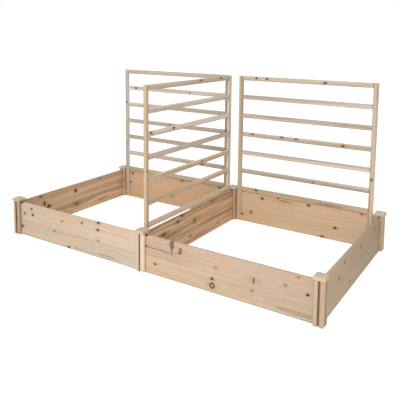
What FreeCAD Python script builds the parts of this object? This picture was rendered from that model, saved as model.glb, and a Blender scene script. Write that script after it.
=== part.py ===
"""Twin raised planting bed in unfinished softwood, with three lattice trellises.

Six grooved posts stand on a grid of two by three. Seven walls, each of two
boards set edge to edge, slide down between them on dovetailed ends: two fronts,
two backs, two ends and the divider that both beds share. The beds have no floor.
Every post carries a square cap on a dowel. A trellis is screwed to the inside of
each back wall and to the left side of the divider. It has two uprights, and seven
rails between them whose tenons are nailed in the uprights' mortises.

Units are millimetres. X runs right along the fronts, Y runs to the back and Z is
up. The origin is on the ground under the middle of the divider.
"""
import FreeCAD, Part
import math
import os

Vector = FreeCAD.Vector

# --- beds -----------------------------------------------------------------
bed_length = 1200.0        # along X, post centre to post centre, each bed
bed_depth = 1200.0         # along Y, post centre to post centre

# --- boards ---------------------------------------------------------------
board_thickness = 20.0
upper_board_height = 140.0
lower_board_height = 108.0
board_top_chamfer = 2.0
board_seam_chamfer = 1.5   # each side of the seam, a shallow V when closed
board_foot_chamfer = 1.0
seam_tongue_width = 6.0
seam_tongue_height = 7.0

# --- posts and their dovetail grooves ---------------------------------------
post_side = 60.0
post_rise_above_boards = 9.0
post_edge_chamfer = 2.5
groove_mouth = 13.0
groove_root = 17.0
groove_depth = 12.0
board_clearance = 0.3      # board in groove, tongue in seam groove

# --- caps and dowels ----------------------------------------------------------
cap_side = 74.0
cap_thickness = 20.0
cap_top_chamfer = 6.0
cap_corner_chamfer = 3.0
dowel_diameter = 10.0
dowel_depth_in_post = 28.0
dowel_depth_in_cap = 12.0
dowel_side_clearance = 0.1
dowel_end_clearance = 0.5

# --- trellises ------------------------------------------------------------------
lath_width = 34.0
lath_thickness = 18.0
lath_edge_chamfer = 1.5
rail_count = 7
rail_pitch = 151.5
lowest_rail_above_boards = 9.0
upright_foot_height = 70.0  # clear of the ground
trellis_end_gap = 11.0      # from a cap's side to the trellis
tenon_cheek = 5.0           # upright's wood before and behind a mortise
tenon_shoulder = 5.0        # rail's wood above and below its tenon
mortise_end_cover = 11.0    # upright's wood beyond a mortise
tenon_side_clearance = 0.15
tenon_end_clearance = 1.0

# --- fasteners --------------------------------------------------------------------
nail_diameter = 2.0
nail_end_cover = 2.0        # wood left behind a nail's point
nail_head_diameter = 4.5
nail_head_thickness = 1.0
screw_diameter = 4.0
screw_end_cover = 4.0       # board left behind a screw's point
screw_head_diameter = 8.0
screw_head_depth = 2.2
upper_screw_below_wall_top = 34.0
screw_hole_clearance = 0.2

# --- sizes that follow ----------------------------------------------------------
wall_height = lower_board_height + upper_board_height
post_height = wall_height + post_rise_above_boards
board_half = board_thickness / 2
post_half = post_side / 2
cap_half = cap_side / 2
mortise_depth = lath_width - mortise_end_cover
tenon_length = mortise_depth - tenon_end_clearance
nail_length = lath_thickness - nail_end_cover
screw_length = lath_thickness + board_thickness - screw_end_cover
lower_screw_height = (upright_foot_height + lower_board_height) / 2
upper_screw_height = wall_height - upper_screw_below_wall_top
lowest_rail_bottom = wall_height + lowest_rail_above_boards
trellis_top = lowest_rail_bottom + (rail_count - 1) * rail_pitch + lath_width
trellis_end_from_axis = cap_half + trellis_end_gap
back_trellis_width = bed_length - 2 * trellis_end_from_axis
middle_trellis_width = bed_depth - 2 * trellis_end_from_axis

# each upright's two screws: one into the lower board, one into the upper
screw_heights = (lower_screw_height, upper_screw_height)

post_columns = {"left": -bed_length, "centre": 0.0, "right": bed_length}
post_rows = {"front": -bed_depth / 2, "back": bed_depth / 2}

UP = Vector(0, 0, 1)


def placed(shape, x=0.0, y=0.0, z=0.0, turn=0.0):
    """A copy of shape, turned about Z by turn degrees and then moved."""
    copy = shape.copy()
    copy.Placement = FreeCAD.Placement(Vector(x, y, z), FreeCAD.Rotation(UP, turn))
    return copy


def block(low, high):
    """A box between two corners, each (x, y, z)."""
    size = [b - a for a, b in zip(low, high)]
    return Part.makeBox(size[0], size[1], size[2], Vector(*low))


def extrude(points, along):
    """A prism over the closed outline through points."""
    corners = [Vector(*p) for p in points]
    face = Part.Face(Part.makePolygon(corners + corners[:1]))
    return face.extrude(Vector(*along))


def chamfered_rectangle(low_a, low_b, high_a, high_b, chamfer):
    """The eight corners of a rectangle in a and b with its corners cut off."""
    return [(low_a + chamfer, low_b), (high_a - chamfer, low_b),
            (high_a, low_b + chamfer), (high_a, high_b - chamfer),
            (high_a - chamfer, high_b), (low_a + chamfer, high_b),
            (low_a, high_b - chamfer), (low_a, low_b + chamfer)]


def dovetail(mouth, root, depth, face_at, height):
    """A dovetail that leaves the plane x = face_at towards -X, from z 0 to height."""
    tip = face_at - depth
    outline = [(face_at, -mouth / 2, 0), (face_at, mouth / 2, 0),
               (tip, root / 2, 0), (tip, -root / 2, 0)]
    return extrude(outline, (0, 0, height))


# --- posts -------------------------------------------------------------------------

def make_post():
    """A post on the origin: chamfered arrises, four full-height grooves, a dowel hole."""
    section = chamfered_rectangle(-post_half, -post_half, post_half, post_half,
                                  post_edge_chamfer)
    post = extrude([(x, y, 0) for x, y in section], (0, 0, post_height))
    for turn in (0, 90, 180, 270):
        groove = dovetail(groove_mouth, groove_root, groove_depth, post_half, post_height)
        post = post.cut(placed(groove, turn=turn))
    hole_depth = dowel_depth_in_post + dowel_end_clearance
    hole = Part.makeCylinder(dowel_diameter / 2 + dowel_side_clearance, hole_depth,
                             Vector(0, 0, post_height - hole_depth))
    return post.cut(hole)


def square_outline(half, corner_chamfer, z):
    """A closed wire: a square about the Z axis with its corners cut off."""
    corners = [Vector(x, y, z) for x, y in
               chamfered_rectangle(-half, -half, half, half, corner_chamfer)]
    return Part.makePolygon(corners + corners[:1])


def make_cap():
    """A cap centred on the origin with its underside on z 0 and a bevelled top."""
    bevel_start = cap_thickness - cap_top_chamfer
    base = Part.Face(square_outline(cap_half, cap_corner_chamfer, 0.0))
    base = base.extrude(Vector(0, 0, bevel_start))
    bevel = Part.makeLoft(
        [square_outline(cap_half, cap_corner_chamfer, bevel_start),
         square_outline(cap_half - cap_top_chamfer, cap_corner_chamfer, cap_thickness)],
        True, True)
    cap = base.fuse(bevel).removeSplitter()
    hole = Part.makeCylinder(dowel_diameter / 2 + dowel_side_clearance,
                             dowel_depth_in_cap + dowel_end_clearance)
    return cap.cut(hole)


def make_dowel():
    """A dowel whose middle joint, post to cap, lies on z 0."""
    return Part.makeCylinder(dowel_diameter / 2, dowel_depth_in_post + dowel_depth_in_cap,
                             Vector(0, 0, -dowel_depth_in_post))


# --- boards -----------------------------------------------------------------------

def board_body(length, outline):
    """A board's middle, from an outline in y and z, centred on x 0."""
    return extrude([(-length / 2, y, z) for y, z in outline], (length, 0, 0))


def add_dovetail_ends(body, length, height):
    """The board's two dovetailed ends, which slide down the posts' grooves."""
    tail = dovetail(groove_mouth - 2 * board_clearance, groove_root - 2 * board_clearance,
                    groove_depth, 0.0, height)
    left = placed(tail, x=-length / 2)
    right = placed(tail, x=length / 2, turn=180)
    return body.fuse([left, right]).removeSplitter()


def make_lower_board(axis_span):
    """The lower board of a wall between post axes axis_span apart, foot on z 0."""
    length = axis_span - post_side - 2 * board_clearance
    shoulder = board_half - board_seam_chamfer
    foot = board_half - board_foot_chamfer
    top = lower_board_height
    outline = [(-foot, 0), (foot, 0), (board_half, board_foot_chamfer),
               (board_half, top - board_seam_chamfer), (shoulder, top),
               (-shoulder, top), (-board_half, top - board_seam_chamfer),
               (-board_half, board_foot_chamfer)]
    board = add_dovetail_ends(board_body(length, outline), length, top)
    tongue_end = length / 2 - board_clearance
    tongue = block((-tongue_end, -seam_tongue_width / 2, top - board_seam_chamfer),
                   (tongue_end, seam_tongue_width / 2, top + seam_tongue_height))
    return board.fuse(tongue).removeSplitter()


def make_upper_board(axis_span):
    """The upper board of the same wall, its lower edge on z 0."""
    length = axis_span - post_side - 2 * board_clearance
    shoulder = board_half - board_seam_chamfer
    crest = board_half - board_top_chamfer
    top = upper_board_height
    outline = [(-shoulder, 0), (shoulder, 0), (board_half, board_seam_chamfer),
               (board_half, top - board_top_chamfer), (crest, top), (-crest, top),
               (-board_half, top - board_top_chamfer), (-board_half, board_seam_chamfer)]
    board = add_dovetail_ends(board_body(length, outline), length, top)
    slot_half = seam_tongue_width / 2 + board_clearance
    slot = block((-length / 2, -slot_half, -board_seam_chamfer),
                 (length / 2, slot_half, seam_tongue_height + board_clearance))
    return board.cut(slot)


# --- trellises --------------------------------------------------------------------
# A trellis is made flat against the plane y = 0, from x 0 to its width, with its
# front towards -Y, and is then turned and moved to its wall.

def rail_bottom(index):
    """Height of a rail's lower edge; rail 0 is the lowest."""
    return lowest_rail_bottom + index * rail_pitch


def upright_centres(width):
    """Across the trellis, the middles of its two uprights."""
    return (lath_width / 2, width - lath_width / 2)


def tenon_block(start_x, end_x, index, clearance):
    """A rail's tenon from start_x to end_x, grown by clearance in height and thickness."""
    cheek = tenon_cheek - clearance
    shoulder = tenon_shoulder - clearance
    low_z = rail_bottom(index)
    return block((start_x, cheek - lath_thickness, low_z + shoulder),
                 (end_x, -cheek, low_z + lath_width - shoulder))


def nail_hole():
    """A nail's own hole with its head's seat, from the front face on y 0 to the back."""
    shank = Part.makeCylinder(nail_diameter / 2, nail_length, Vector(), Vector(0, 1, 0))
    head = Part.makeCylinder(nail_head_diameter / 2, nail_head_thickness, Vector(),
                             Vector(0, 1, 0))
    return shank.fuse(head)


def make_nail():
    """A flat-headed nail, driven flush; it fills its hole."""
    return nail_hole().removeSplitter()


def screw_solid(clearance, reach):
    """A countersunk screw's outline of revolution, from y 0 to reach, grown by clearance."""
    head_radius = screw_head_diameter / 2 + clearance
    shank_radius = screw_diameter / 2 + clearance
    head = Part.makeCone(head_radius, shank_radius, screw_head_depth, Vector(),
                         Vector(0, 1, 0))
    shank = Part.makeCylinder(shank_radius, reach, Vector(), Vector(0, 1, 0))
    return head.fuse(shank).removeSplitter()


def make_upright(centre):
    """An upright with a mortise for every rail."""
    low_x = centre - lath_width / 2
    high_x = centre + lath_width / 2
    section = chamfered_rectangle(low_x, -lath_thickness, high_x, 0.0, lath_edge_chamfer)
    upright = extrude([(x, y, upright_foot_height) for x, y in section],
                      (0, 0, trellis_top - upright_foot_height))
    # the mortises open towards the trellis's middle
    if centre < lath_width:
        mortise_low, mortise_high = high_x - mortise_depth, high_x
    else:
        mortise_low, mortise_high = low_x, low_x + mortise_depth
    for index in range(rail_count):
        upright = upright.cut(tenon_block(mortise_low, mortise_high, index,
                                          tenon_side_clearance))
        nail_z = rail_bottom(index) + lath_width / 2
        upright = upright.cut(placed(nail_hole(), centre, -lath_thickness, nail_z))
    for height in screw_heights:
        hole = screw_solid(screw_hole_clearance, lath_thickness)
        upright = upright.cut(placed(hole, centre, -lath_thickness, height))
    return upright


def make_rail(width, index):
    """A rail between the uprights, with a tenon at each end."""
    low_z = rail_bottom(index)
    section = chamfered_rectangle(-lath_thickness, low_z, 0.0, low_z + lath_width,
                                  lath_edge_chamfer)
    rail = extrude([(lath_width, y, z) for y, z in section], (width - 2 * lath_width, 0, 0))
    tenon_tip = lath_width - tenon_length
    rail = rail.fuse(tenon_block(tenon_tip, width - tenon_tip, index, 0.0)).removeSplitter()
    for centre in upright_centres(width):
        rail = rail.cut(placed(nail_hole(), centre, -lath_thickness, low_z + lath_width / 2))
    return rail


# --- the assembly -------------------------------------------------------------------

# name, width, turn about Z, then where the trellis's own origin goes
trellises = {
    "left_trellis": dict(width=back_trellis_width, turn=0.0, ends=("left", "right"),
                         x=post_columns["left"] + trellis_end_from_axis,
                         y=post_rows["back"] - board_half),
    "right_trellis": dict(width=back_trellis_width, turn=0.0, ends=("left", "right"),
                          x=post_columns["centre"] + trellis_end_from_axis,
                          y=post_rows["back"] - board_half),
    "middle_trellis": dict(width=middle_trellis_width, turn=-90.0, ends=("back", "front"),
                           x=post_columns["centre"] - board_half,
                           y=post_rows["back"] - trellis_end_from_axis),
}

# name, span between post axes, the wall's middle, turn about Z
walls = {
    "front_left_wall": dict(span=bed_length, turn=0.0,
                            x=post_columns["left"] / 2, y=post_rows["front"]),
    "front_right_wall": dict(span=bed_length, turn=0.0,
                             x=post_columns["right"] / 2, y=post_rows["front"]),
    "back_left_wall": dict(span=bed_length, turn=0.0,
                           x=post_columns["left"] / 2, y=post_rows["back"]),
    "back_right_wall": dict(span=bed_length, turn=0.0,
                            x=post_columns["right"] / 2, y=post_rows["back"]),
    "left_end_wall": dict(span=bed_depth, turn=90.0, x=post_columns["left"], y=0.0),
    "right_end_wall": dict(span=bed_depth, turn=90.0, x=post_columns["right"], y=0.0),
    "divider_wall": dict(span=bed_depth, turn=90.0, x=post_columns["centre"], y=0.0),
}


def on_trellis(shape, site, along=0.0, z=0.0, depth=0.0):
    """Place a shape made in a trellis's flat frame at its site."""
    copy = placed(shape, along, depth, z)
    on_site = FreeCAD.Placement(Vector(site["x"], site["y"], 0),
                                FreeCAD.Rotation(UP, site["turn"]))
    copy.Placement = on_site.multiply(copy.Placement)
    return copy


def trellis_screws():
    """Every screw that holds a trellis to its wall, each in its place."""
    screw = screw_solid(0.0, screw_length)
    return [on_trellis(screw, site, centre, height, -lath_thickness)
            for site in trellises.values()
            for centre in upright_centres(site["width"])
            for height in screw_heights]


def trellis_nails():
    """Every nail through a tenon, each in its place."""
    nail = make_nail()
    return [on_trellis(nail, site, centre, rail_bottom(index) + lath_width / 2,
                       -lath_thickness)
            for site in trellises.values()
            for centre in upright_centres(site["width"])
            for index in range(rail_count)]


def build():
    """Every node of the assembly by name."""
    nodes = {}
    dowels = []
    for row, y in post_rows.items():
        for column, x in post_columns.items():
            nodes[f"{row}_{column}_post"] = placed(make_post(), x, y)
            nodes[f"{row}_{column}_cap"] = placed(make_cap(), x, y, post_height)
            dowels.append(placed(make_dowel(), x, y, post_height))
    nodes["cap_dowels"] = Part.makeCompound(dowels)

    screws = trellis_screws()
    for name, site in walls.items():
        lower = placed(make_lower_board(site["span"]), site["x"], site["y"], 0.0, site["turn"])
        upper = placed(make_upper_board(site["span"]), site["x"], site["y"],
                       lower_board_height, site["turn"])
        for part_name, board in (("lower_board", lower), ("upper_board", upper)):
            for screw in screws:
                if board.BoundBox.intersect(screw.BoundBox):
                    board = board.cut(screw)
            nodes[f"{name}_{part_name}"] = board

    for name, site in trellises.items():
        for end, centre in zip(site["ends"], upright_centres(site["width"])):
            nodes[f"{name}_{end}_upright"] = on_trellis(make_upright(centre), site)
        for index in range(rail_count):
            top = index == rail_count - 1
            rail_name = "top_rail" if top else f"rail_{index + 1}"
            nodes[f"{name}_{rail_name}"] = on_trellis(make_rail(site["width"], index), site)
    nodes["trellis_screws"] = Part.makeCompound(screws)
    nodes["trellis_nails"] = Part.makeCompound(trellis_nails())
    return nodes


def main():
    os.makedirs("parts", exist_ok=True)
    nodes = build()
    low = Vector(math.inf, math.inf, math.inf)
    high = -low
    for name, shape in nodes.items():
        shape.exportStep(f"parts/{name}.step")
        box = shape.BoundBox
        low = Vector(min(low.x, box.XMin), min(low.y, box.YMin), min(low.z, box.ZMin))
        high = Vector(max(high.x, box.XMax), max(high.y, box.YMax), max(high.z, box.ZMax))
        print(name, "solids", len(shape.Solids), "valid", shape.isValid())
    size = high - low
    print("nodes", len(nodes), "size", round(size.x, 2), round(size.y, 2), round(size.z, 2))
    print("lowest corner", round(low.x, 2), round(low.y, 2), round(low.z, 2))


main()
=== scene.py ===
"""Looks for the twin raised bed in unfinished softwood with its three lattice trellises.

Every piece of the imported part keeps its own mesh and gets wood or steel. The wood is
solid: growth rings lie round a pith line beside each piece, so faces, edges and ends of
one piece belong together. Knots lie where the pieces show them and bend the grain.
"""

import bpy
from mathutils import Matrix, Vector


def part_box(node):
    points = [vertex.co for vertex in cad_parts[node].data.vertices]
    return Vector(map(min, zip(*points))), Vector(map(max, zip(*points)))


bl_info = {
    "name": "Raised bed with trellises",
    "version": (1, 0, 0),
    "blender": (4, 5, 0),
    "location": "3D View > Sidebar > Raised bed",
    "description": "Gives the raised bed's posts, caps, walls and trellises their softwood",
    "category": "Object",
}

import math
import random

import bpy
from bpy.props import FloatProperty, FloatVectorProperty, PointerProperty
from mathutils import Matrix, Vector

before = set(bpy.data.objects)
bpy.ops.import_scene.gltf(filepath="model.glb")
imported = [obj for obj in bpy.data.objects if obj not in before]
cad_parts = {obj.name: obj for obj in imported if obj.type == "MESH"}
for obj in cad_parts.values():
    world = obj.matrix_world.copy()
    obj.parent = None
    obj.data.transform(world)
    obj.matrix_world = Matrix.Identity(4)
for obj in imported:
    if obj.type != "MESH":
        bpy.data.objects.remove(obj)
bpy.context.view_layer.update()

MM = 0.001


def tone(name, description, red, green, blue):
    """A colour property, in linear values."""
    return FloatVectorProperty(name=name, description=description, subtype="COLOR", size=3,
                               min=0.0, max=1.0, default=(red, green, blue))


def length(name, description, millimetres):
    """A size property, in metres."""
    return FloatProperty(name=name, description=description, unit="LENGTH", min=0.0,
                         default=millimetres * MM)


def share(name, description, value):
    """A property for a share or strength."""
    return FloatProperty(name=name, description=description, subtype="FACTOR", min=0.0,
                         max=1.0, default=value)


# --- settings ----------------------------------------------------

class SoftwoodSettings(bpy.types.PropertyGroup):
    """What all the wooden pieces share."""
    ring_width: length("Ring width", "Growth of one year", 4.2)
    wander: length("Wander", "How far the grain leaves a straight line", 3.0)
    ring_contrast: share("Ring contrast", "Strength of the late wood's lines", 0.33)
    streak_contrast: share("Streak contrast", "Strength of broad darker bands", 0.85)
    patch_strength: share("Patch strength", "How much warm and cool patches differ", 0.65)
    edge_width: length("Edge width", "Width of the rubbed band along each arris", 2.2)
    edge_strength: share("Edge strength", "How much the rubbed arrises differ", 0.30)
    end_strength: share("End strength", "How much darker sawn ends are", 0.34)
    roughness: share("Roughness", "Roughness of planed wood", 0.62)
    relief: length("Relief", "Height of the grain's relief", 0.35)
    knot_core: tone("Knot", "Colour of a knot's heart", 0.042, 0.016, 0.007)
    knot_halo: tone("Knot surround", "Colour of the wood round a knot", 0.36, 0.20, 0.095)
    # The shadow colour is painted shade, in post grooves and at the ends and feet of boards and
    # rails.
    shadow: tone("Shadow", "Colour of the wood deep in grooves and joints", 0.055, 0.031, 0.018)


class PostSettings(bpy.types.PropertyGroup):
    """The grooved posts."""
    pale: tone("Early wood", "Pale colour of the posts", 0.74, 0.585, 0.42)
    dark: tone("Late wood", "Dark colour of the posts", 0.47, 0.315, 0.18)
    groove_reach: length("Groove reach", "Depth at which a groove is fully dark", 5.0)


class CapSettings(bpy.types.PropertyGroup):
    """The square caps."""
    pale: tone("Early wood", "Pale colour of the caps", 0.70, 0.56, 0.415)
    dark: tone("Late wood", "Dark colour of the caps", 0.50, 0.36, 0.22)


class WallSettings(bpy.types.PropertyGroup):
    """The walls' boards."""
    pale: tone("Early wood", "Pale colour of the boards", 0.73, 0.57, 0.405)
    dark: tone("Late wood", "Dark colour of the boards", 0.46, 0.30, 0.17)
    hidden_end: length("Hidden end", "How far a board reaches into a post", 12.0)
    joint_width: length("Joint width", "Half height of the line between two boards", 3.6)
    shade_width: length("Shade width", "Width of the shade beside the posts", 6.0)
    end_shade: share("End shade", "Strength of the shade beside the posts", 0.9)
    foot_shade: share("Foot shade", "Strength of the shade along the foot", 0.38)
    # Painted highlight: the colour of a joint line whose edge catches the light.
    highlit_joint: tone("Light joint", "Colour of a worn joint that catches the light",
                      0.86, 0.71, 0.53)
    dark_joint: tone("Dark joint", "Colour of a joint that lies open", 0.30, 0.19, 0.105)


class TrellisSettings(bpy.types.PropertyGroup):
    """The trellises' laths."""
    pale: tone("Early wood", "Pale colour of the laths", 0.71, 0.58, 0.43)
    dark: tone("Late wood", "Dark colour of the laths", 0.45, 0.31, 0.19)
    hidden_end: length("Hidden end", "How far a rail reaches into an upright", 22.0)
    shade_width: length("Shade width", "Width of the shade at a rail's lower edge and ends", 4.0)
    end_shade: share("End shade", "Strength of the shade beside the uprights", 0.38)
    foot_shade: share("Foot shade", "Strength of the shade along a rail's lower edge", 0.36)


class FixingSettings(bpy.types.PropertyGroup):
    """Dowels, nails and screws."""
    dowel: tone("Dowel", "Colour of the hardwood dowels", 0.58, 0.42, 0.25)
    steel: tone("Steel", "Colour of the zinc-plated nails and screws", 0.62, 0.61, 0.58)


class StageSettings(bpy.types.PropertyGroup):
    """Floor, light and camera."""
    floor: tone("Floor", "Colour of the floor", 0.86, 0.86, 0.86)
    ambient: FloatProperty(name="Ambient", description="Strength of the light from all round",
                           default=0.665, min=0.0)
    key: FloatProperty(name="Key light", description="Power of the large lamp", unit="POWER",
                       default=360.0, min=0.0)
    floor_glow: share("Floor glow", "What the floor adds of its own to look white", 0.52)
    azimuth: FloatProperty(name="Azimuth", description="Where the camera stands, from the front",
                           subtype="ANGLE", default=math.radians(31.83))
    descent: FloatProperty(name="Descent", description="How far down the camera looks",
                           subtype="ANGLE", default=math.radians(6.80))
    roll: FloatProperty(name="Roll", description="Turn of the picture about its middle",
                        subtype="ANGLE", default=math.radians(0.68))
    focal_length: FloatProperty(name="Focal length", description="Of a 36 mm wide sensor, in mm",
                                default=47.52, min=1.0)
    shift: FloatVectorProperty(name="Shift", description="Of the picture, in its widths", size=2,
                               default=(-0.0252, -0.25))
    camera_place: FloatVectorProperty(name="Camera", description="Where the camera stands",
                                      subtype="TRANSLATION", unit="LENGTH", size=3,
                                      default=(2.0856, -3.1527, 1.5065))


# --- node helpers ------------------------------------------------

def plug(tree, socket, value):
    """Link a socket to another socket's value, or set it to a plain one."""
    if isinstance(value, bpy.types.NodeSocket):
        tree.links.new(value, socket)
    else:
        socket.default_value = value


def calc(tree, operation, *values, clamp=False):
    """A Math node's result."""
    node = tree.nodes.new("ShaderNodeMath")
    node.operation = operation
    node.use_clamp = clamp
    for socket, value in zip(node.inputs, values):
        plug(tree, socket, value)
    return node.outputs[0]


def vector_calc(tree, operation, *values):
    """A Vector Math node's result."""
    node = tree.nodes.new("ShaderNodeVectorMath")
    node.operation = operation
    for socket, value in zip(node.inputs, values):
        plug(tree, socket, value)
    return node.outputs["Value" if operation in ("LENGTH", "DOT_PRODUCT") else "Vector"]


def ramp(tree, value, low, high, start=0.0, end=1.0):
    """A value eased from start to end as it passes from low to high."""
    node = tree.nodes.new("ShaderNodeMapRange")
    node.interpolation_type = "SMOOTHSTEP"
    plug(tree, node.inputs["Value"], value)
    for name, limit in (("From Min", low), ("From Max", high), ("To Min", start), ("To Max", end)):
        plug(tree, node.inputs[name], limit)
    return node.outputs["Result"]


def blend_colours(tree, factor, first, second, mode="MIX"):
    """Two colours mixed by a factor."""
    node = tree.nodes.new("ShaderNodeMix")
    node.data_type = "RGBA"
    node.blend_type = mode
    node.clamp_factor = True
    plug(tree, node.inputs["Factor"], factor)
    plug(tree, node.inputs["A"], first)
    plug(tree, node.inputs["B"], second)
    return [s for s in node.outputs if s.type == "RGBA"][0]


def grey_times(tree, colour, level):
    """A colour with all its parts multiplied by one value."""
    return blend_colours(tree, 1.0, colour, join(tree, level, level, level), "MULTIPLY")


def cloud(tree, place, waves, detail=2.0, roughness=0.5):
    """A noise with so many waves per metre along each axis: a value and a colour."""
    node = tree.nodes.new("ShaderNodeTexNoise")
    node.inputs["Scale"].default_value = 1.0
    node.inputs["Detail"].default_value = detail
    node.inputs["Roughness"].default_value = roughness
    plug(tree, node.inputs["Vector"], vector_calc(tree, "MULTIPLY", place, waves))
    return node.outputs["Fac"], node.outputs["Color"]


def split(tree, place):
    """A vector's three parts."""
    node = tree.nodes.new("ShaderNodeSeparateXYZ")
    plug(tree, node.inputs[0], place)
    return node.outputs


def join(tree, x, y, z):
    """A vector of three parts."""
    node = tree.nodes.new("ShaderNodeCombineXYZ")
    for socket, value in zip(node.inputs, (x, y, z)):
        plug(tree, socket, value)
    return node.outputs[0]


SOCKETS = {"value": "NodeSocketFloat", "vector": "NodeSocketVector", "colour": "NodeSocketColor"}


def shader_group(name, inputs, outputs):
    """A new shader node group with named sockets: (tree, what comes in, what goes out)."""
    tree = bpy.data.node_groups.new(name, "ShaderNodeTree")
    for label, kind in inputs:
        tree.interface.new_socket(label, in_out="INPUT", socket_type=SOCKETS[kind])
    for label, kind in outputs:
        tree.interface.new_socket(label, in_out="OUTPUT", socket_type=SOCKETS[kind])
    return tree, tree.nodes.new("NodeGroupInput").outputs, tree.nodes.new("NodeGroupOutput").inputs


def use_group(tree, name, **values):
    """Place a group in a tree. An input named Half width is given as half_width."""
    node = tree.nodes.new("ShaderNodeGroup")
    node.node_tree = bpy.data.node_groups[name]
    for label, value in values.items():
        plug(tree, node.inputs[label.replace("_", " ").capitalize()], value)
    return node.outputs


# --- shared effects ----------------------------------------------
# A place on a piece is given as (along the grain, across its face, through it), in metres.

# Waves per metre of each unevenness: along the grain, across the face and through the piece.
SWAY_WAVES = (0.8, 3.0, 3.0)
GROWTH_WAVES = (0.5, 46.0, 46.0)
BAND_WAVES = (0.55, 30.0, 30.0)
FIBRE_WAVES = (14.0, 720.0, 720.0)
PATCH_WAVES = (3.6, 16.0, 16.0)
KNOT_WAVES = (160.0, 160.0, 40.0)
EDGE_WAVES = (60.0, 260.0, 260.0)
SHADE_WAVES = (30.0, 90.0, 90.0)

HALVES = (0.5, 0.5, 0.5)
# A noise mostly stays within 0.25 of its middle. Multiplied by this, it stays within 1.
NOISE_TO_ONE = 4.0
# Growth rings are long ellipsoids round the pith, a hundred times as long as they are wide.
RING_TAPER = (0.010, 1.0, 1.0)
# By how many years noise moves the rings at most.
UNEVEN_YEARS = 1.3
# When in a year, from 0 to 1, the late wood begins, is darkest and starts to fade.
LATE_WOOD_BEGINS, LATE_WOOD_DARKEST, LATE_WOOD_FADES = 0.30, 0.90, 0.92
FAINTEST_RING = 0.35


def make_grain_group():
    """Growth rings round a pith line, broad bands, fine fibres and patches of colour."""
    tree, given, result = shader_group(
        "Wood grain",
        [("Place", "vector"), ("Pith", "vector"), ("Seed", "value"), ("Ring width", "value"),
         ("Wander", "value")],
        [("Rings", "value"), ("Bands", "value"), ("Fibres", "value"), ("Patches", "value")])
    shifted = vector_calc(tree, "ADD", given["Place"],
                          join(tree, given["Seed"], given["Seed"], given["Seed"]))
    slow = cloud(tree, shifted, SWAY_WAVES, 1.0)[1]
    sway = vector_calc(tree, "SCALE", vector_calc(tree, "SUBTRACT", slow, HALVES))
    plug(tree, sway.node.inputs["Scale"], calc(tree, "MULTIPLY", given["Wander"], NOISE_TO_ONE))
    bent = vector_calc(tree, "ADD", given["Place"], sway)
    from_pith = vector_calc(tree, "MULTIPLY", vector_calc(tree, "SUBTRACT", bent, given["Pith"]),
                            RING_TAPER)
    years = calc(tree, "DIVIDE", vector_calc(tree, "LENGTH", from_pith), given["Ring width"])
    uneven = cloud(tree, bent, GROWTH_WAVES, 1.0)[0]
    years = calc(tree, "ADD", years, calc(tree, "MULTIPLY", uneven, UNEVEN_YEARS))
    year = calc(tree, "FLOOR", years)
    part_of_year = calc(tree, "FRACT", years)
    late = calc(tree, "MULTIPLY", ramp(tree, part_of_year, LATE_WOOD_BEGINS, LATE_WOOD_DARKEST),
                ramp(tree, part_of_year, LATE_WOOD_FADES, 1.0, 1.0, 0.0))
    luck = tree.nodes.new("ShaderNodeTexWhiteNoise")
    luck.noise_dimensions = "1D"
    plug(tree, luck.inputs["W"], year)
    strength = ramp(tree, luck.outputs["Value"], 0.0, 1.0, FAINTEST_RING, 1.0)
    plug(tree, result["Rings"], calc(tree, "MULTIPLY", late, strength))
    bent_shifted = vector_calc(tree, "ADD", shifted, sway)
    wide = cloud(tree, bent_shifted, BAND_WAVES, 3.0, 0.6)[0]
    plug(tree, result["Bands"], ramp(tree, wide, 0.30, 0.70))
    fine = cloud(tree, bent_shifted, FIBRE_WAVES)[0]
    plug(tree, result["Fibres"], ramp(tree, fine, 0.25, 0.75))
    patchy = cloud(tree, shifted, PATCH_WAVES, 2.0, 0.6)[0]
    plug(tree, result["Patches"], ramp(tree, patchy, 0.32, 0.68))


# Distances from a knot's middle, 1 at its rim: where its heart fades out, and where a paler
# heart's own middle does.
HEART_FADES = (0.98, 1.22)
PALER_MIDDLE_FADES = (0.35, 0.75)
KNOT_RAGGEDNESS = 0.5
# Lines round a knot's heart: how close they lie, and how pale the palest is.
WHORL_RATE = 16.0
WHORL_PALEST = 0.86
# Round a knot, its surround and the bend in the grain reach further along the grain.
SURROUND_STRETCH = 0.45
SURROUND_FADES = (0.5, 1.7)
GRAIN_BENDS = (0.3, 2.2)
GRAIN_PINCH = 0.6


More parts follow.
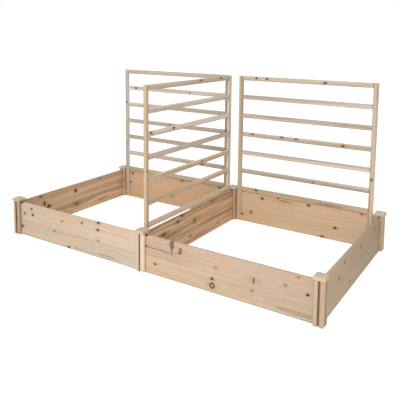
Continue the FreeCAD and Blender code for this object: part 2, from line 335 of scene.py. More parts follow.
def make_knot_group():
    """One knot. It adds to the masks that come in, and bends the place to lead grain round it."""
    tree, given, result = shader_group(
        "Knot",
        [("Place", "vector"), ("Bent", "vector"), ("Core", "value"), ("Halo", "value"),
         ("Centre", "vector"), ("Half length", "value"), ("Half height", "value"),
         ("Darkness", "value"), ("Paler heart", "value")],
        [("Bent", "vector"), ("Core", "value"), ("Halo", "value")])
    offset = split(tree, vector_calc(tree, "SUBTRACT", given["Place"], given["Centre"]))
    ragged = calc(tree, "SUBTRACT", cloud(tree, given["Place"], KNOT_WAVES)[0], 0.5)
    along = calc(tree, "DIVIDE", offset[0], given["Half length"])
    across = calc(tree, "DIVIDE", offset[1], given["Half height"])
    reach = vector_calc(tree, "LENGTH", join(tree, along, across, 0.0))
    reach = calc(tree, "ADD", reach, calc(tree, "MULTIPLY", ragged, KNOT_RAGGEDNESS))
    whorl = calc(tree, "SINE", calc(tree, "MULTIPLY", reach, WHORL_RATE))
    heart = ramp(tree, reach, *HEART_FADES, 1.0, 0.0)
    heart = calc(tree, "MULTIPLY", heart, ramp(tree, whorl, -1.0, 1.0, WHORL_PALEST, 1.0))
    paler = calc(tree, "MULTIPLY", ramp(tree, reach, *PALER_MIDDLE_FADES, 1.0, 0.0),
                 given["Paler heart"])
    heart = calc(tree, "MULTIPLY", heart, calc(tree, "SUBTRACT", 1.0, paler))
    core = calc(tree, "MULTIPLY", heart, given["Darkness"])
    plug(tree, result["Core"], calc(tree, "MAXIMUM", core, given["Core"]))
    stretched = join(tree, calc(tree, "MULTIPLY", offset[0], SURROUND_STRETCH), offset[1], 0.0)
    size = calc(tree, "MAXIMUM", given["Half length"], given["Half height"])
    nearness = calc(tree, "DIVIDE", vector_calc(tree, "LENGTH", stretched), size)
    halo = calc(tree, "MULTIPLY", ramp(tree, nearness, *SURROUND_FADES, 1.0, 0.0),
                given["Darkness"])
    plug(tree, result["Halo"], calc(tree, "MAXIMUM", halo, given["Halo"]))
    pinch = calc(tree, "MULTIPLY", ramp(tree, nearness, *GRAIN_BENDS, GRAIN_PINCH, 0.0),
                 offset[1])
    plug(tree, result["Bent"],
         vector_calc(tree, "SUBTRACT", given["Bent"], join(tree, 0.0, pinch, 0.0)))


# How squarely a face meets the grain, 1 for square, where it starts to look sawn and does.
SAWN_FROM, SAWN_FULLY = 0.55, 0.85


def make_end_group():
    """Where a face cuts across the grain."""
    tree, given, result = shader_group("Sawn end", [("Grain direction", "vector")],
                                       [("End", "value")])
    face = tree.nodes.new("ShaderNodeNewGeometry").outputs["True Normal"]
    facing = calc(tree, "ABSOLUTE", vector_calc(tree, "DOT_PRODUCT", face, given["Grain direction"]))
    plug(tree, result["End"], ramp(tree, facing, SAWN_FROM, SAWN_FULLY))


def make_edge_group():
    """A ragged band along the twelve edges of a piece's box, from its two corners."""
    tree, given, result = shader_group(
        "Rubbed edges", [("Place", "vector"), ("Low", "vector"), ("High", "vector"),
                         ("Width", "value")], [("Edge", "value")])
    from_low = vector_calc(tree, "SUBTRACT", given["Place"], given["Low"])
    from_high = vector_calc(tree, "SUBTRACT", given["High"], given["Place"])
    a, b, c = split(tree, vector_calc(tree, "MINIMUM", from_low, from_high))
    # the second smallest of the depths under the box's sides is small only at its edges
    second = calc(tree, "MAXIMUM", calc(tree, "MINIMUM", a, b),
                  calc(tree, "MINIMUM", calc(tree, "MAXIMUM", a, b), c))
    ragged = cloud(tree, given["Place"], EDGE_WAVES, 3.0)[0]
    limit = calc(tree, "MULTIPLY", given["Width"], ramp(tree, ragged, 0.2, 0.8, 0.4, 1.6))
    full = calc(tree, "MULTIPLY", limit, 0.3)
    plug(tree, result["Edge"], ramp(tree, second, full, limit, 1.0, 0.0))


def make_lean_group():
    """A slow change of level from one side of a piece's box to the other, 1 at its middle."""
    tree, given, result = shader_group(
        "Slow change", [("Place", "vector"), ("Low", "vector"), ("High", "vector"),
                        ("Lean", "vector")], [("Level", "value")])
    part = vector_calc(tree, "DIVIDE", vector_calc(tree, "SUBTRACT", given["Place"], given["Low"]),
                       vector_calc(tree, "SUBTRACT", given["High"], given["Low"]))
    off_middle = vector_calc(tree, "SUBTRACT", part, HALVES)
    plug(tree, result["Level"],
         calc(tree, "ADD", vector_calc(tree, "DOT_PRODUCT", off_middle, given["Lean"]), 1.0))


def make_groove_group():
    """What lies deeper than a post's four faces, so the inside of its grooves, where shade is
    painted.
    """
    tree, given, result = shader_group(
        "Groove depth", [("Place", "vector"), ("Middle", "vector"), ("Half width", "value"),
                         ("Reach", "value")], [("Shade", "value")])
    from_middle = vector_calc(tree, "SUBTRACT", given["Place"], given["Middle"])
    out = split(tree, vector_calc(tree, "ABSOLUTE", from_middle))
    depth = calc(tree, "SUBTRACT", given["Half width"], calc(tree, "MAXIMUM", out[1], out[2]))
    start = calc(tree, "MULTIPLY", given["Reach"], 0.15)
    plug(tree, result["Shade"], ramp(tree, depth, start, given["Reach"]))


def make_joint_group():
    """Painted shade at the ends and along the foot of a board or rail, and a line along a joint."""
    tree, given, result = shader_group(
        "Board joints",
        [("Place", "vector"), ("Low", "vector"), ("High", "vector"), ("Hidden end", "value"),
         ("Joint height", "value"), ("Joint width", "value"), ("Shade width", "value"),
         ("Foot height", "value"), ("End shade", "value"), ("Foot shade", "value")],
        [("Shade", "value"), ("Joint", "value")])
    from_low = split(tree, vector_calc(tree, "SUBTRACT", given["Place"], given["Low"]))
    from_high = split(tree, vector_calc(tree, "SUBTRACT", given["High"], given["Place"]))
    height = split(tree, given["Place"])[1]
    ragged = cloud(tree, given["Place"], SHADE_WAVES)[0]
    from_end = calc(tree, "MINIMUM", from_low[0], from_high[0])
    from_end = calc(tree, "SUBTRACT", from_end, given["Hidden end"])
    above_foot = calc(tree, "SUBTRACT", height, given["Foot height"])
    limit = calc(tree, "MULTIPLY", given["Shade width"], ramp(tree, ragged, 0.3, 0.7, 0.7, 1.3))
    full = calc(tree, "MULTIPLY", limit, 0.35)
    end_shade = ramp(tree, from_end, full, limit, given["End shade"], 0.0)
    foot_shade = ramp(tree, above_foot, full, limit, given["Foot shade"], 0.0)
    plug(tree, result["Shade"], calc(tree, "MAXIMUM", end_shade, foot_shade))
    from_joint = calc(tree, "ABSOLUTE", calc(tree, "SUBTRACT", height, given["Joint height"]))
    width = calc(tree, "MULTIPLY", given["Joint width"], ramp(tree, ragged, 0.3, 0.7, 0.6, 1.2))
    line = ramp(tree, from_joint, calc(tree, "MULTIPLY", width, 0.5), width, 1.0, 0.0)
    plug(tree, result["Joint"], line)


# What the wood's colour is multiplied by in its warmer and its cooler patches.
WARM_PATCH = (1.04, 0.93, 0.84, 1.0)
COOL_PATCH = (0.97, 1.01, 1.04, 1.0)
BANDS_IN_COLOUR = 0.6
# What the lightest and the darkest stripe add to a level of 1, and the levels of the fibres.
LIGHTEST_STRIPE, DARKEST_STRIPE = 0.22, -0.42
DARKEST_FIBRE, LIGHTEST_FIBRE = 0.90, 1.06
SURROUND_STRENGTH = 0.34
# What sawn ends, early wood, late wood and knots add to the roughness.
ROUGHER_END, ROUGHER_EARLY_WOOD, ROUGHER_LATE_WOOD, ROUGHER_KNOT = 0.18, 0.05, -0.08, -0.16
# How much rings, fibres and rubbed edges raise the surface.
RINGS_RAISE, FIBRES_RAISE, EDGES_RAISE = 0.6, 0.4, -0.5


def make_colour_group():
    """The wood's colour, roughness and relief from all its masks."""
    tree, given, result = shader_group(
        "Wood colour",
        [("Pale", "colour"), ("Dark", "colour"), ("Knot", "colour"), ("Knot surround", "colour"),
         ("Rings", "value"), ("Bands", "value"), ("Fibres", "value"), ("Patches", "value"),
         ("Patch strength", "value"), ("Core", "value"), ("Halo", "value"), ("End", "value"),
         ("Edge", "value"), ("Ring contrast", "value"), ("Band contrast", "value"),
         ("Stripes", "value"), ("Level", "value"), ("End strength", "value"),
         ("Edge strength", "value"), ("Shade", "value"), ("Shadow", "colour"),
         ("Joint", "value"), ("Joint colour", "colour"), ("Roughness", "value")],
        [("Colour", "colour"), ("Roughness", "value"), ("Height", "value")])
    banded = calc(tree, "MULTIPLY", given["Bands"], given["Band contrast"])
    lined = calc(tree, "MULTIPLY", given["Rings"], given["Ring contrast"])
    depth = calc(tree, "ADD", calc(tree, "MULTIPLY", banded, BANDS_IN_COLOUR), lined, clamp=True)
    colour = blend_colours(tree, depth, given["Pale"], given["Dark"])
    patch = blend_colours(tree, given["Patches"], WARM_PATCH, COOL_PATCH)
    colour = blend_colours(tree, given["Patch strength"], colour,
                           blend_colours(tree, 1.0, colour, patch, "MULTIPLY"))
    lightest = calc(tree, "MULTIPLY_ADD", given["Stripes"], LIGHTEST_STRIPE, 1.0)
    darkest = calc(tree, "MULTIPLY_ADD", given["Stripes"], DARKEST_STRIPE, 1.0)
    stripe = ramp(tree, given["Bands"], 0.15, 0.85, lightest, darkest)
    colour = grey_times(tree, colour, calc(tree, "MULTIPLY", stripe, given["Level"]))
    fibre = ramp(tree, given["Fibres"], 0.0, 1.0, DARKEST_FIBRE, LIGHTEST_FIBRE)
    colour = grey_times(tree, colour, fibre)
    surround = calc(tree, "MULTIPLY", given["Halo"], SURROUND_STRENGTH)
    colour = blend_colours(tree, surround, colour, given["Knot surround"])
    colour = blend_colours(tree, given["Core"], colour, given["Knot"])
    ended = calc(tree, "MULTIPLY", given["End"], given["End strength"])
    colour = blend_colours(tree, ended, colour, given["Dark"])
    rubbed = calc(tree, "MULTIPLY", given["Edge"], given["Edge strength"])
    colour = blend_colours(tree, rubbed, colour, given["Pale"])
    # Where the joint colour is light, this line is a painted highlight. Where it is dark, it is an
    # open joint.
    colour = blend_colours(tree, given["Joint"], colour, given["Joint colour"])
    plug(tree, result["Colour"], blend_colours(tree, given["Shade"], colour, given["Shadow"]))
    rough = calc(tree, "MULTIPLY_ADD", given["End"], ROUGHER_END, given["Roughness"])
    rough = calc(tree, "ADD", rough, ramp(tree, given["Rings"], 0.0, 1.0, ROUGHER_EARLY_WOOD,
                                          ROUGHER_LATE_WOOD))
    plug(tree, result["Roughness"], calc(tree, "MULTIPLY_ADD", given["Core"], ROUGHER_KNOT, rough))
    height = calc(tree, "MULTIPLY", given["Rings"], RINGS_RAISE)
    height = calc(tree, "MULTIPLY_ADD", given["Fibres"], FIBRES_RAISE, height)
    plug(tree, result["Height"], calc(tree, "MULTIPLY_ADD", given["Edge"], EDGES_RAISE, height))


# --- the pieces' wood --------------------------------------------

# Which of x, y and z runs along the grain, across the wide face and through the piece.
ALONG_X = (0, 2, 1)
ALONG_Y = (1, 2, 0)
UP_WIDE_X = (2, 0, 1)
UP_WIDE_Y = (2, 1, 0)
CAP_FLAT = (0, 1, 2)

# How far the pith lies from a piece's middle, in mm: the nearer, the more its rings curve.
POST_PITH = 25.0
LATH_PITH = 40.0
PLANK_PITH = 60.0
# What luck adds: the pith's shift along and across a piece, in metres, shares of its distance
# and of the ring width, and where in the noises a piece lies.
PITH_ALONG = 0.3
PITH_ACROSS = 0.04
PITH_SHARES = (0.6, 1.4)
RING_WIDTH_SHARES = (0.75, 1.3)
LARGEST_SEED = 40
PLANED_SPECULAR = 0.32


def knot(along, across, half_length, half_height, darkness, paler_heart=0.0):
    """A knot or mark: its place along and across in the bed's own frame and half its size, in mm."""
    return dict(centre=(along * MM, across * MM, 0.0), half_length=half_length * MM,
                half_height=half_height * MM, darkness=darkness, paler_heart=paler_heart)


KNOTS = {
    "front_left_wall_upper_board": [
        # knot(-1157, 247) is painted shade: a dark spot at the board's top end, where the gap under
        # the cap lies in shade.
        knot(-1157, 247, 9, 8, 1.0), knot(-1127, 168, 9, 9, 0.95), knot(-1048, 217, 8, 10, 1.0),
        knot(-1037, 173, 11, 10, 1.0), knot(-724, 186, 11, 7, 0.55), knot(-530, 213, 9, 9, 0.8),
        knot(-375, 243, 12, 6, 0.95), knot(-379, 194, 11, 8, 1.0), knot(-379, 120, 9, 8, 0.6)],
    "front_left_wall_lower_board": [
        knot(-806, 97, 8, 9, 0.7), knot(-662, 9, 12, 8, 0.95), knot(-1152, 66, 9, 11, 1.0),
        knot(-560, 20, 45, 5, 0.25), knot(-300, 26, 80, 6, 0.35)],
    "front_right_wall_upper_board": [
        knot(242, 226, 15, 27, 0.82, 0.16), knot(240, 188, 6, 24, 0.62),
        knot(307, 204, 10, 19, 0.85, 0.35), knot(299, 187, 14, 6, 0.8),
        # knot(42, 247) is painted shade: a dark spot at the board's top end, where the gap under the
        # cap lies in shade.
        knot(136, 172, 98, 2.2, 0.85), knot(43, 176, 8, 7, 0.9), knot(42, 247, 9, 7, 1.0),
        knot(810, 146, 5, 19, 0.85), knot(1003, 172, 10, 7, 0.55), knot(1077, 236, 9, 7, 0.45),
        knot(1133, 152, 9, 8, 0.95), knot(560, 160, 10, 12, 0.3)],
    "front_right_wall_lower_board": [
        knot(111, 72, 9, 8, 0.9), knot(535, 86, 10, 9, 0.95), knot(536, 44, 17, 18, 1.0, 0.8),
        knot(802, 85, 11, 7, 0.5), knot(1090, 30, 130, 12, 0.3)],
    "left_end_wall_upper_board": [
        knot(-403, 232, 14, 7, 0.9), knot(-367, 168, 12, 20, 0.95), knot(-325, 136, 20, 14, 0.95),
        knot(-31, 192, 14, 18, 0.95), knot(257, 236, 12, 6, 0.8), knot(531, 126, 10, 7, 0.7)],
    "left_end_wall_lower_board": [knot(-23, 76, 22, 13, 0.6), knot(300, 40, 60, 8, 0.4)],
    "back_left_wall_upper_board": [
        knot(-1085, 226, 13, 9, 0.9), knot(-1109, 140, 11, 10, 0.75), knot(-520, 240, 14, 7, 0.85),
        knot(-130, 241, 12, 7, 0.85)],
    "back_left_wall_lower_board": [knot(-628, 88, 18, 10, 0.6), knot(-300, 40, 12, 9, 0.6)],
    "back_right_wall_upper_board": [
        knot(268, 217, 12, 10, 0.9), knot(406, 241, 14, 6, 0.7), knot(664, 231, 13, 9, 0.9),
        knot(1071, 240, 12, 7, 0.6), knot(470, 226, 60, 7, 0.45)],
    "back_right_wall_lower_board": [
        knot(877, 96, 13, 9, 0.95), knot(780, 9, 14, 8, 0.9), knot(88, 56, 12, 9, 0.8),
        knot(170, 84, 9, 14, 0.8)],
    "right_end_wall_upper_board": [
        knot(-327, 151, 12, 10, 0.8), knot(-233, 213, 13, 9, 0.85), knot(97, 193, 15, 9, 0.75),
        knot(422, 211, 15, 9, 0.75)],
    "right_end_wall_lower_board": [knot(-120, 52, 12, 9, 0.4), knot(310, 70, 14, 8, 0.35)],
    "divider_wall_upper_board": [
        knot(-167, 243, 20, 6, 0.9), knot(-216, 214, 18, 12, 0.8), knot(-4, 158, 10, 20, 0.9),
        knot(248, 242, 16, 6, 0.85), knot(-385, 172, 24, 10, 0.85)],
    "divider_wall_lower_board": [knot(-60, 60, 16, 10, 0.7), knot(330, 44, 18, 9, 0.6)],
    "left_trellis_left_upright": [knot(901, -1135, 8, 8, 0.9), knot(520, -1129, 7, 6, 0.6)],
    "left_trellis_right_upright": [knot(741, -66, 9, 8, 0.9), knot(583, -62, 8, 7, 0.8)],
    "left_trellis_rail_6": [knot(-1025, 1034, 12, 9, 0.9), knot(-430, 1029, 9, 7, 0.5)],
    "left_trellis_rail_2": [knot(-302, 424, 11, 8, 0.9)],
    "left_trellis_rail_4": [knot(-640, 730, 10, 7, 0.7)],
    "middle_trellis_top_rail": [knot(383, 1190, 12, 8, 0.9), knot(91, 1192, 12, 7, 0.85)],
    "middle_trellis_rail_5": [knot(-244, 884, 12, 9, 0.95), knot(-492, 886, 11, 8, 0.9)],
    "middle_trellis_rail_3": [knot(120, 578, 10, 7, 0.6)],
    "middle_trellis_back_upright": [knot(741, 536, 8, 8, 0.8)],
    "middle_trellis_front_upright": [knot(640, -536, 8, 7, 0.6)],
    "right_trellis_top_rail": [
        knot(203, 1188, 10, 8, 0.9), knot(294, 1187, 10, 8, 0.9), knot(766, 1181, 12, 8, 0.9)],
    "right_trellis_rail_4": [
        knot(177, 738, 10, 7, 0.85), knot(431, 739, 10, 7, 0.9), knot(551, 738, 10, 7, 0.85),
        knot(918, 728, 12, 8, 0.9)],
    "right_trellis_rail_1": [knot(217, 283, 12, 7, 0.9), knot(837, 268, 90, 6, 0.45)],
    "right_trellis_right_upright": [knot(509, 1134, 9, 8, 0.9)],
    "right_trellis_rail_2": [knot(700, 421, 9, 7, 0.5)],
    "front_left_post": [knot(120, -1188, 8, 6, 0.5)],
    "back_left_post": [knot(150, -1184, 9, 6, 0.6)],
    "back_right_post": [knot(90, 1184, 9, 6, 0.6)],
}

# How each board differs from its kind: (red, green, blue) shares, how much more its long
# stripes show than on most wood, the strength of the line where it meets the board above or
# below it, and how much lighter its right or back end is than the other. A positive line is a
# painted highlight, where the joint's edge catches the light, and a negative one lies open and dark.
BOARDS = {
    "front_left_wall_upper_board": ((1.02, 1.07, 1.17), -0.20, -0.15, 0.14),
    "front_left_wall_lower_board": ((0.95, 1.01, 1.11), -0.05, -0.25, 0.06),
    "front_right_wall_upper_board": ((0.94, 0.95, 1.03), -0.25, 0.15, -0.24),
    "front_right_wall_lower_board": ((0.93, 0.95, 0.98), -0.10, 0.42, -0.17),
    "back_left_wall_upper_board": ((1.02, 0.93, 0.83), -0.25, -0.15, 0.0),
    "back_left_wall_lower_board": ((1.00, 0.90, 0.79), -0.25, -0.15, 0.0),
    "back_right_wall_upper_board": ((1.03, 1.00, 0.98), -0.35, -0.10, 0.0),
    "back_right_wall_lower_board": ((1.00, 0.95, 0.89), -0.25, -0.10, 0.0),
    "left_end_wall_upper_board": ((1.05, 0.99, 0.92), 0.15, -0.25, 0.05),
    "left_end_wall_lower_board": ((1.06, 0.97, 0.88), 0.45, -0.25, 0.05),
    # The right end faces away from the lamp: its boards' darker tints and their darkening towards
    # the back are painted shade.
    "right_end_wall_upper_board": ((0.71, 0.70, 0.65), -0.30, -0.20, -0.37),
    "right_end_wall_lower_board": ((0.77, 0.79, 0.75), -0.30, -0.20, -0.33),
    "divider_wall_upper_board": ((1.09, 0.95, 0.83), 1.00, -0.40, 0.0),
    "divider_wall_lower_board": ((1.09, 0.95, 0.83), 0.90, -0.40, 0.0),
}
# Each post's (red, green, blue) shares, how dark the painted shade in its grooves is, and how much
# lighter its right side is than its left.
POSTS = {
    "front_left_post": ((0.83, 0.73, 0.64), 1.0, 0.0),
    "front_centre_post": ((1.19, 1.24, 1.35), 0.66, 0.38),
    "front_right_post": ((0.90, 0.89, 0.91), 0.62, 0.0),
    "back_left_post": ((0.94, 0.90, 0.84), 0.8, 0.0),
    "back_centre_post": ((0.90, 0.82, 0.74), 0.95, 0.0),
    "back_right_post": ((0.88, 0.86, 0.82), 0.8, 0.0),
}
# (red, green, blue) shares of each trellis's laths, and of single laths that differ.
TRELLISES = {
    "left": (0.94, 0.96, 1.00),
    "middle": (1.10, 1.12, 1.16),
    "right": (0.97, 1.00, 1.04),
}
LATHS = {
    "left_trellis_left_upright": (0.99, 1.09, 1.24),
    "left_trellis_rail_1": (0.92, 0.86, 0.80),
    "left_trellis_rail_2": (0.94, 1.11, 1.27),
    "left_trellis_rail_3": (0.82, 0.91, 1.06),
    "left_trellis_rail_4": (0.94, 1.07, 1.22),
    "left_trellis_rail_5": (1.03, 1.24, 1.50),
    "left_trellis_rail_6": (1.04, 1.18, 1.36),
    "left_trellis_top_rail": (0.88, 0.92, 0.99),
    "middle_trellis_rail_1": (1.02, 1.10, 1.14),
    "middle_trellis_rail_2": (1.08, 1.02, 0.92),
    "middle_trellis_rail_3": (1.10, 1.20, 1.23),
    "middle_trellis_rail_4": (1.00, 1.00, 1.04),
    "middle_trellis_rail_5": (1.10, 1.22, 1.44),
    "middle_trellis_rail_6": (1.10, 1.22, 1.40),
    "middle_trellis_front_upright": (1.08, 1.00, 0.94),
    "right_trellis_left_upright": (0.82, 0.82, 0.87),
    "right_trellis_rail_1": (1.18, 1.13, 1.06),
    "right_trellis_rail_3": (0.95, 1.03, 1.20),
    "right_trellis_rail_5": (0.88, 0.88, 0.93),
    "right_trellis_rail_6": (0.88, 0.96, 1.09),
}
PLAIN = (1.0, 1.0, 1.0)
LATH_STRIPES = 0.3
# Every lath also differs a little by luck, in level and in warmth. A warmer one gains red and
# loses blue.
LATH_LEVELS = (0.92, 1.06)
LATH_WARMTH = 0.04
WARMER = (1, 0, -1.5)


def corners(node, order):
    """A node's box in grain order."""
    low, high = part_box(node)
    return [Vector([corner[i] for i in order]) for corner in (low, high)]


def tinted(colour, tint):
    """A colour as a socket value, with each part scaled."""
    return (*[min(1.0, part * share_of) for part, share_of in zip(colour, tint)], 1.0)


def new_material(name):
    """A material, its node tree and its shader."""
    material = bpy.data.materials.new(name)
    material.use_nodes = True
    return material, material.node_tree, material.node_tree.nodes["Principled BSDF"]


def place_on(tree):
    """The place on a piece, in metres."""
    return tree.nodes.new("ShaderNodeTexCoord").outputs["Object"]


def pith_line(luck, low, high, distance):
    """A point on a piece's pith, to one side of its box."""
    middle = (low + high) / 2
    side = luck.choice((-1, 1))
    return (middle[0] + luck.uniform(-PITH_ALONG, PITH_ALONG),
            middle[1] + luck.uniform(-PITH_ACROSS, PITH_ACROSS),
            middle[2] + side * luck.uniform(*PITH_SHARES) * distance * MM)


def softwood(node, order, colours, tint=PLAIN, pith_distance=PLANK_PITH, stripes=0.0,
             shades=None, lean=(0.0, 0.0, 0.0)):
    """A solid softwood for one CAD node, with its own rings, bands, knots and shades. The last are
    made by a function of the tree, the place and the box's two corners."""
    wood = bpy.context.scene.raised_bed_softwood
    luck = random.Random(node)
    material, tree, shader = new_material(f"Softwood {node.replace('_', ' ')}")
    position = split(tree, place_on(tree))
    place = join(tree, *[position[i] for i in order])
    bent, core, halo = place, 0.0, 0.0
    for form in KNOTS.get(node, []):
        grown = use_group(tree, "Knot", place=place, bent=bent, core=core, halo=halo, **form)
        bent, core, halo = grown["Bent"], grown["Core"], grown["Halo"]
    low, high = corners(node, order)
    pith = pith_line(luck, low, high, pith_distance)
    seed = luck.uniform(0, LARGEST_SEED)
    ring_width = wood.ring_width * luck.uniform(*RING_WIDTH_SHARES)
    grain = use_group(tree, "Wood grain", place=bent, pith=pith, seed=seed,
                      ring_width=ring_width, wander=wood.wander)
    direction = [float(i == order[0]) for i in range(3)]
    end = use_group(tree, "Sawn end", grain_direction=direction)
    edge = use_group(tree, "Rubbed edges", place=place, low=low, high=high, width=wood.edge_width)
    level = use_group(tree, "Slow change", place=place, low=low, high=high, lean=lean)
    shaded = shades(tree, place, low, high) if shades else {}
    look = use_group(
        tree, "Wood colour", pale=tinted(colours.pale, tint), dark=tinted(colours.dark, tint),
        knot=(*wood.knot_core, 1.0), knot_surround=tinted(wood.knot_halo, tint),
        rings=grain["Rings"], bands=grain["Bands"], fibres=grain["Fibres"],
        patches=grain["Patches"], patch_strength=wood.patch_strength, core=core, halo=halo,
        end=end["End"], edge=edge["Edge"], ring_contrast=wood.ring_contrast,
        band_contrast=wood.streak_contrast, stripes=stripes, level=level["Level"],
        end_strength=wood.end_strength, edge_strength=wood.edge_strength,
        roughness=wood.roughness, shadow=(*wood.shadow, 1.0), **shaded)
    plug(tree, shader.inputs["Base Color"], look["Colour"])
    plug(tree, shader.inputs["Roughness"], look["Roughness"])
    bump = tree.nodes.new("ShaderNodeBump")
    bump.inputs["Distance"].default_value = wood.relief
    plug(tree, bump.inputs["Height"], look["Height"])
    plug(tree, shader.inputs["Normal"], bump.outputs["Normal"])
    shader.inputs["Specular IOR Level"].default_value = PLANED_SPECULAR
    return material


def groove_shades(reach, darkness):
    """Painted shade that darkens a post: the inside of its grooves."""
    def shades(tree, place, low, high):
        groove = use_group(tree, "Groove depth", place=place, middle=(low + high) / 2,
                           half_width=(high[1] - low[1]) / 2, reach=reach)
        return {"shade": calc(tree, "MULTIPLY", groove["Shade"], darkness)}
    return shades


def joint_shades(node, colours, line):
    """Painted shade on a board beside its posts and along its foot, and its line along the other
    board of its wall.
    """
    def shades(tree, place, low, high):
        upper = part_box(node.replace("lower", "upper"))[0].z
        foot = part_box(node.replace("upper", "lower"))[0].z
        joint = use_group(tree, "Board joints", place=place, low=low, high=high,
                          hidden_end=colours.hidden_end, joint_height=upper,
                          joint_width=colours.joint_width, shade_width=colours.shade_width,
                          foot_height=foot, end_shade=colours.end_shade,
                          foot_shade=colours.foot_shade)
        colour = colours.highlit_joint if line > 0 else colours.dark_joint
        return {"shade": joint["Shade"], "joint_colour": (*colour, 1.0),
                "joint": calc(tree, "MULTIPLY", joint["Joint"], abs(line))}
    return shades


def rail_shades(colours):
    """Painted shade on a rail along its lower edge and beside its uprights."""
    def shades(tree, place, low, high):
        edge = use_group(tree, "Board joints", place=place, low=low, high=high,
                         hidden_end=colours.hidden_end, shade_width=colours.shade_width,
                         foot_height=low[1], end_shade=colours.end_shade,
                         foot_shade=colours.foot_shade)
        return {"shade": edge["Shade"]}
    return shades


DOWEL_FIBRE_WAVES = (500.0, 500.0, 20.0)
DOWEL_LIGHTER = (1.12, 1.12, 1.12)
DOWEL_ROUGHNESS = 0.6
SPANGLE_WAVES = (900.0, 900.0, 900.0)
SPANGLE_DULLER = (0.8, 0.8, 0.8)
STEEL_SMOOTHEST, STEEL_ROUGHEST = 0.30, 0.48


def hardwood(colour):
    """A turned dowel's wood, with fibres along its axis."""
    material, tree, shader = new_material("Hardwood dowel")
    fibre = cloud(tree, place_on(tree), DOWEL_FIBRE_WAVES)[0]
    plug(tree, shader.inputs["Base Color"],
         blend_colours(tree, fibre, (*colour, 1.0), tinted(colour, DOWEL_LIGHTER)))
    shader.inputs["Roughness"].default_value = DOWEL_ROUGHNESS
    return material


def zinc_plated(colour):
    """Steel with the fine spangle of its zinc."""
    material, tree, shader = new_material("Zinc-plated steel")
    spangle = cloud(tree, place_on(tree), SPANGLE_WAVES)[0]
    plug(tree, shader.inputs["Base Color"],
         blend_colours(tree, spangle, (*colour, 1.0), tinted(colour, SPANGLE_DULLER)))
    plug(tree, shader.inputs["Roughness"],
         ramp(tree, spangle, 0.3, 0.7, STEEL_SMOOTHEST, STEEL_ROUGHEST))
    shader.inputs["Metallic"].default_value = 1.0
    return material


def dress(node, material):
    """Give a CAD node its material."""
    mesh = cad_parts[node].data
    mesh.materials.clear()
    mesh.materials.append(material)


def nodes_with(part):
    """The CAD nodes with this part in their names, in order."""
    return [name for name in sorted(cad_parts) if part in name]


# --- operators ---------------------------------------------------

class RAISEDBED_OT_effects(bpy.types.Operator):
    """Make the shader groups that the woods share"""
    bl_idname = "raised_bed.effects"
    bl_label = "Wood effects"

    def execute(self, context):
        make_grain_group()
        make_knot_group()
        make_end_group()
        make_edge_group()
        make_lean_group()
        make_groove_group()
        make_joint_group()
        make_colour_group()
        return {"FINISHED"}


class RAISEDBED_OT_posts(bpy.types.Operator):
    """Give the six grooved posts their wood"""
    bl_idname = "raised_bed.posts"
    bl_label = "Posts"

    def execute(self, context):
        colours = context.scene.raised_bed_posts
        for node in nodes_with("_post"):
            tint, darkness, lean = POSTS[node]
            dress(node, softwood(node, UP_WIDE_X, colours, tint, POST_PITH,
                                 shades=groove_shades(colours.groove_reach, darkness),
                                 lean=(0.0, lean, 0.0)))
        return {"FINISHED"}


class RAISEDBED_OT_caps(bpy.types.Operator):
    """Give the six caps their wood"""
    bl_idname = "raised_bed.caps"
    bl_label = "Caps"

    def execute(self, context):
        for node in nodes_with("_cap"):
            dress(node, softwood(node, CAP_FLAT, context.scene.raised_bed_caps))
        return {"FINISHED"}


class RAISEDBED_OT_walls(bpy.types.Operator):
    """Give the walls' boards their wood, each in its own tint"""
    bl_idname = "raised_bed.walls"
    bl_label = "Walls"

    def execute(self, context):
        colours = context.scene.raised_bed_walls
        for node in nodes_with("_board"):
            low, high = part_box(node)
            order = ALONG_X if high.x - low.x > high.y - low.y else ALONG_Y
            tint, stripes, line, lean = BOARDS[node]
            dress(node, softwood(node, order, colours, tint, stripes=stripes,
                                 shades=joint_shades(node, colours, line), lean=(lean, 0.0, 0.0)))
        return {"FINISHED"}


class RAISEDBED_OT_trellises(bpy.types.Operator):
    """Give the trellises' laths their wood"""
    bl_idname = "raised_bed.trellises"
    bl_label = "Trellises"

    def execute(self, context):
        colours = context.scene.raised_bed_trellises
        for node in nodes_with("_trellis_"):
            middle = node.startswith("middle")
            if node.endswith("_upright"):
                order = UP_WIDE_Y if middle else UP_WIDE_X
                shades = None
            else:
                order = ALONG_Y if middle else ALONG_X
                shades = rail_shades(colours)
            luck = random.Random(node)
            level = luck.uniform(*LATH_LEVELS)
            warmth = luck.uniform(-LATH_WARMTH, LATH_WARMTH)
            kind = LATHS.get(node, TRELLISES[node.split("_")[0]])
            tint = [level * part * (1 + warmth * change) for part, change in zip(kind, WARMER)]
            dress(node, softwood(node, order, colours, tint, LATH_PITH, LATH_STRIPES, shades))
        return {"FINISHED"}


class RAISEDBED_OT_fixings(bpy.types.Operator):
    """Give the dowels hardwood and the nails and screws zinc-plated steel"""
    bl_idname = "raised_bed.fixings"
    bl_label = "Fixings"

    def execute(self, context):
        settings = context.scene.raised_bed_fixings
        dress("cap_dowels", hardwood(settings.dowel))
        steel = zinc_plated(settings.steel)
        for node in ("trellis_nails", "trellis_screws"):
            dress(node, steel)
        return {"FINISHED"}


class RAISEDBED_OT_stage(bpy.types.Operator):
    """Lay the floor, hang the lamp and set the camera"""
    bl_idname = "raised_bed.stage"
    bl_label = "Stage"

    def execute(self, context):
        settings = context.scene.raised_bed_stage
        lay_floor(settings)
        light_studio(context.scene, settings)
        set_camera(context.scene, settings)
        return {"FINISHED"}


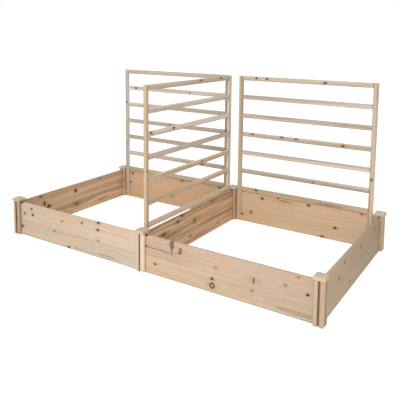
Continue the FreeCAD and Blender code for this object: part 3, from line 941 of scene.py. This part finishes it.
# In metres, but the sensor's width in millimetres.
FLOOR_HALF = 30.0
FLOOR_DROP = 0.0005
FLOOR_ROUGHNESS = 0.9
LAMP_WIDTH = 5.0
LAMP_PLACE = Vector((2.0, -7.3, 5.0))
LAMP_AIM = Vector((0.0, 0.0, 0.3))
SENSOR_WIDTH = 36.0
WHITE = (1.0, 1.0, 1.0, 1.0)


def seen_or_mirrored(tree):
    """1 for a ray from the camera, a reflection or a transmission, and otherwise 0."""
    path = tree.nodes.new("ShaderNodeLightPath").outputs
    either = calc(tree, "ADD", path["Is Camera Ray"], path["Is Glossy Ray"])
    return calc(tree, "ADD", either, path["Is Transmission Ray"], clamp=True)


def lay_floor(settings):
    """A wide pale floor just under the posts' feet. It adds a little light of its own to the
    picture, so that it looks white and still takes a shadow."""
    mesh = bpy.data.meshes.new("Floor")
    spots = [(-FLOOR_HALF, -FLOOR_HALF), (FLOOR_HALF, -FLOOR_HALF),
             (FLOOR_HALF, FLOOR_HALF), (-FLOOR_HALF, FLOOR_HALF)]
    mesh.from_pydata([(x, y, -FLOOR_DROP) for x, y in spots], [], [(0, 1, 2, 3)])
    floor = bpy.data.objects.new("Floor", mesh)
    bpy.context.scene.collection.objects.link(floor)
    material, tree, shader = new_material("Pale floor")
    shader.inputs["Base Color"].default_value = (*settings.floor, 1.0)
    shader.inputs["Roughness"].default_value = FLOOR_ROUGHNESS
    shader.inputs["Specular IOR Level"].default_value = 0.0
    shader.inputs["Emission Color"].default_value = WHITE
    plug(tree, shader.inputs["Emission Strength"],
         calc(tree, "MULTIPLY", seen_or_mirrored(tree), settings.floor_glow))
    mesh.materials.append(material)


def light_studio(scene, settings):
    """Even light from all round, white behind the object, and one large lamp before it."""
    world = bpy.data.worlds.new("Studio")
    scene.world = world
    world.use_nodes = True
    tree = world.node_tree
    background = tree.nodes["Background"]
    background.inputs["Color"].default_value = WHITE
    plug(tree, background.inputs["Strength"],
         calc(tree, "MULTIPLY_ADD", seen_or_mirrored(tree), 1.0 - settings.ambient,
              settings.ambient))
    lamp = bpy.data.lights.new("Key lamp", "AREA")
    lamp.shape = "DISK"
    lamp.size = LAMP_WIDTH
    lamp.energy = settings.key
    hung = bpy.data.objects.new("Key lamp", lamp)
    hung.location = LAMP_PLACE
    hung.rotation_euler = (LAMP_AIM - LAMP_PLACE).to_track_quat("-Z", "Y").to_euler()
    scene.collection.objects.link(hung)


def set_camera(scene, settings):
    """A camera whose axes follow the azimuth, descent and roll."""
    azimuth, descent, roll = settings.azimuth, settings.descent, settings.roll
    ahead = Vector((-math.sin(azimuth) * math.cos(descent),
                    math.cos(azimuth) * math.cos(descent), -math.sin(descent)))
    right = Vector((math.cos(azimuth), math.sin(azimuth), 0.0))
    above = right.cross(ahead)
    turned_right = right * math.cos(roll) + above * math.sin(roll)
    turned_up = above * math.cos(roll) - right * math.sin(roll)
    lens = bpy.data.cameras.new("Camera")
    lens.sensor_width = SENSOR_WIDTH
    lens.lens = settings.focal_length
    lens.shift_x, lens.shift_y = settings.shift
    camera = bpy.data.objects.new("Camera", lens)
    turn = Matrix((turned_right, turned_up, -ahead)).transposed()
    camera.matrix_world = Matrix.Translation(settings.camera_place) @ turn.to_4x4()
    scene.collection.objects.link(camera)
    scene.camera = camera
    scene.view_settings.view_transform = "Standard"


# --- panel and registration --------------------------------------

SETTINGS = {
    "raised_bed_softwood": SoftwoodSettings,
    "raised_bed_posts": PostSettings,
    "raised_bed_caps": CapSettings,
    "raised_bed_walls": WallSettings,
    "raised_bed_trellises": TrellisSettings,
    "raised_bed_fixings": FixingSettings,
    "raised_bed_stage": StageSettings,
}
OPERATORS = (RAISEDBED_OT_effects, RAISEDBED_OT_posts, RAISEDBED_OT_caps, RAISEDBED_OT_walls,
             RAISEDBED_OT_trellises, RAISEDBED_OT_fixings, RAISEDBED_OT_stage)


class RAISEDBED_PT_panel(bpy.types.Panel):
    """Settings and operators of the raised bed"""
    bl_label = "Raised bed"
    bl_idname = "RAISEDBED_PT_panel"
    bl_space_type = "VIEW_3D"
    bl_region_type = "UI"
    bl_category = "Raised bed"

    def draw(self, context):
        for name, group in SETTINGS.items():
            box = self.layout.box()
            for setting in group.__annotations__:
                box.prop(getattr(context.scene, name), setting)
        for operator in OPERATORS:
            self.layout.operator(operator.bl_idname)


def register():
    for name, group in SETTINGS.items():
        bpy.utils.register_class(group)
        setattr(bpy.types.Scene, name, PointerProperty(type=group))
    for operator in OPERATORS:
        bpy.utils.register_class(operator)
    bpy.utils.register_class(RAISEDBED_PT_panel)


def unregister():
    bpy.utils.unregister_class(RAISEDBED_PT_panel)
    for operator in reversed(OPERATORS):
        bpy.utils.unregister_class(operator)
    for name, group in SETTINGS.items():
        delattr(bpy.types.Scene, name)
        bpy.utils.unregister_class(group)


def main():
    register()
    bpy.ops.raised_bed.effects()
    bpy.ops.raised_bed.posts()
    bpy.ops.raised_bed.caps()
    bpy.ops.raised_bed.walls()
    bpy.ops.raised_bed.trellises()
    bpy.ops.raised_bed.fixings()
    bpy.ops.raised_bed.stage()


if __name__ == "__main__":
    main()
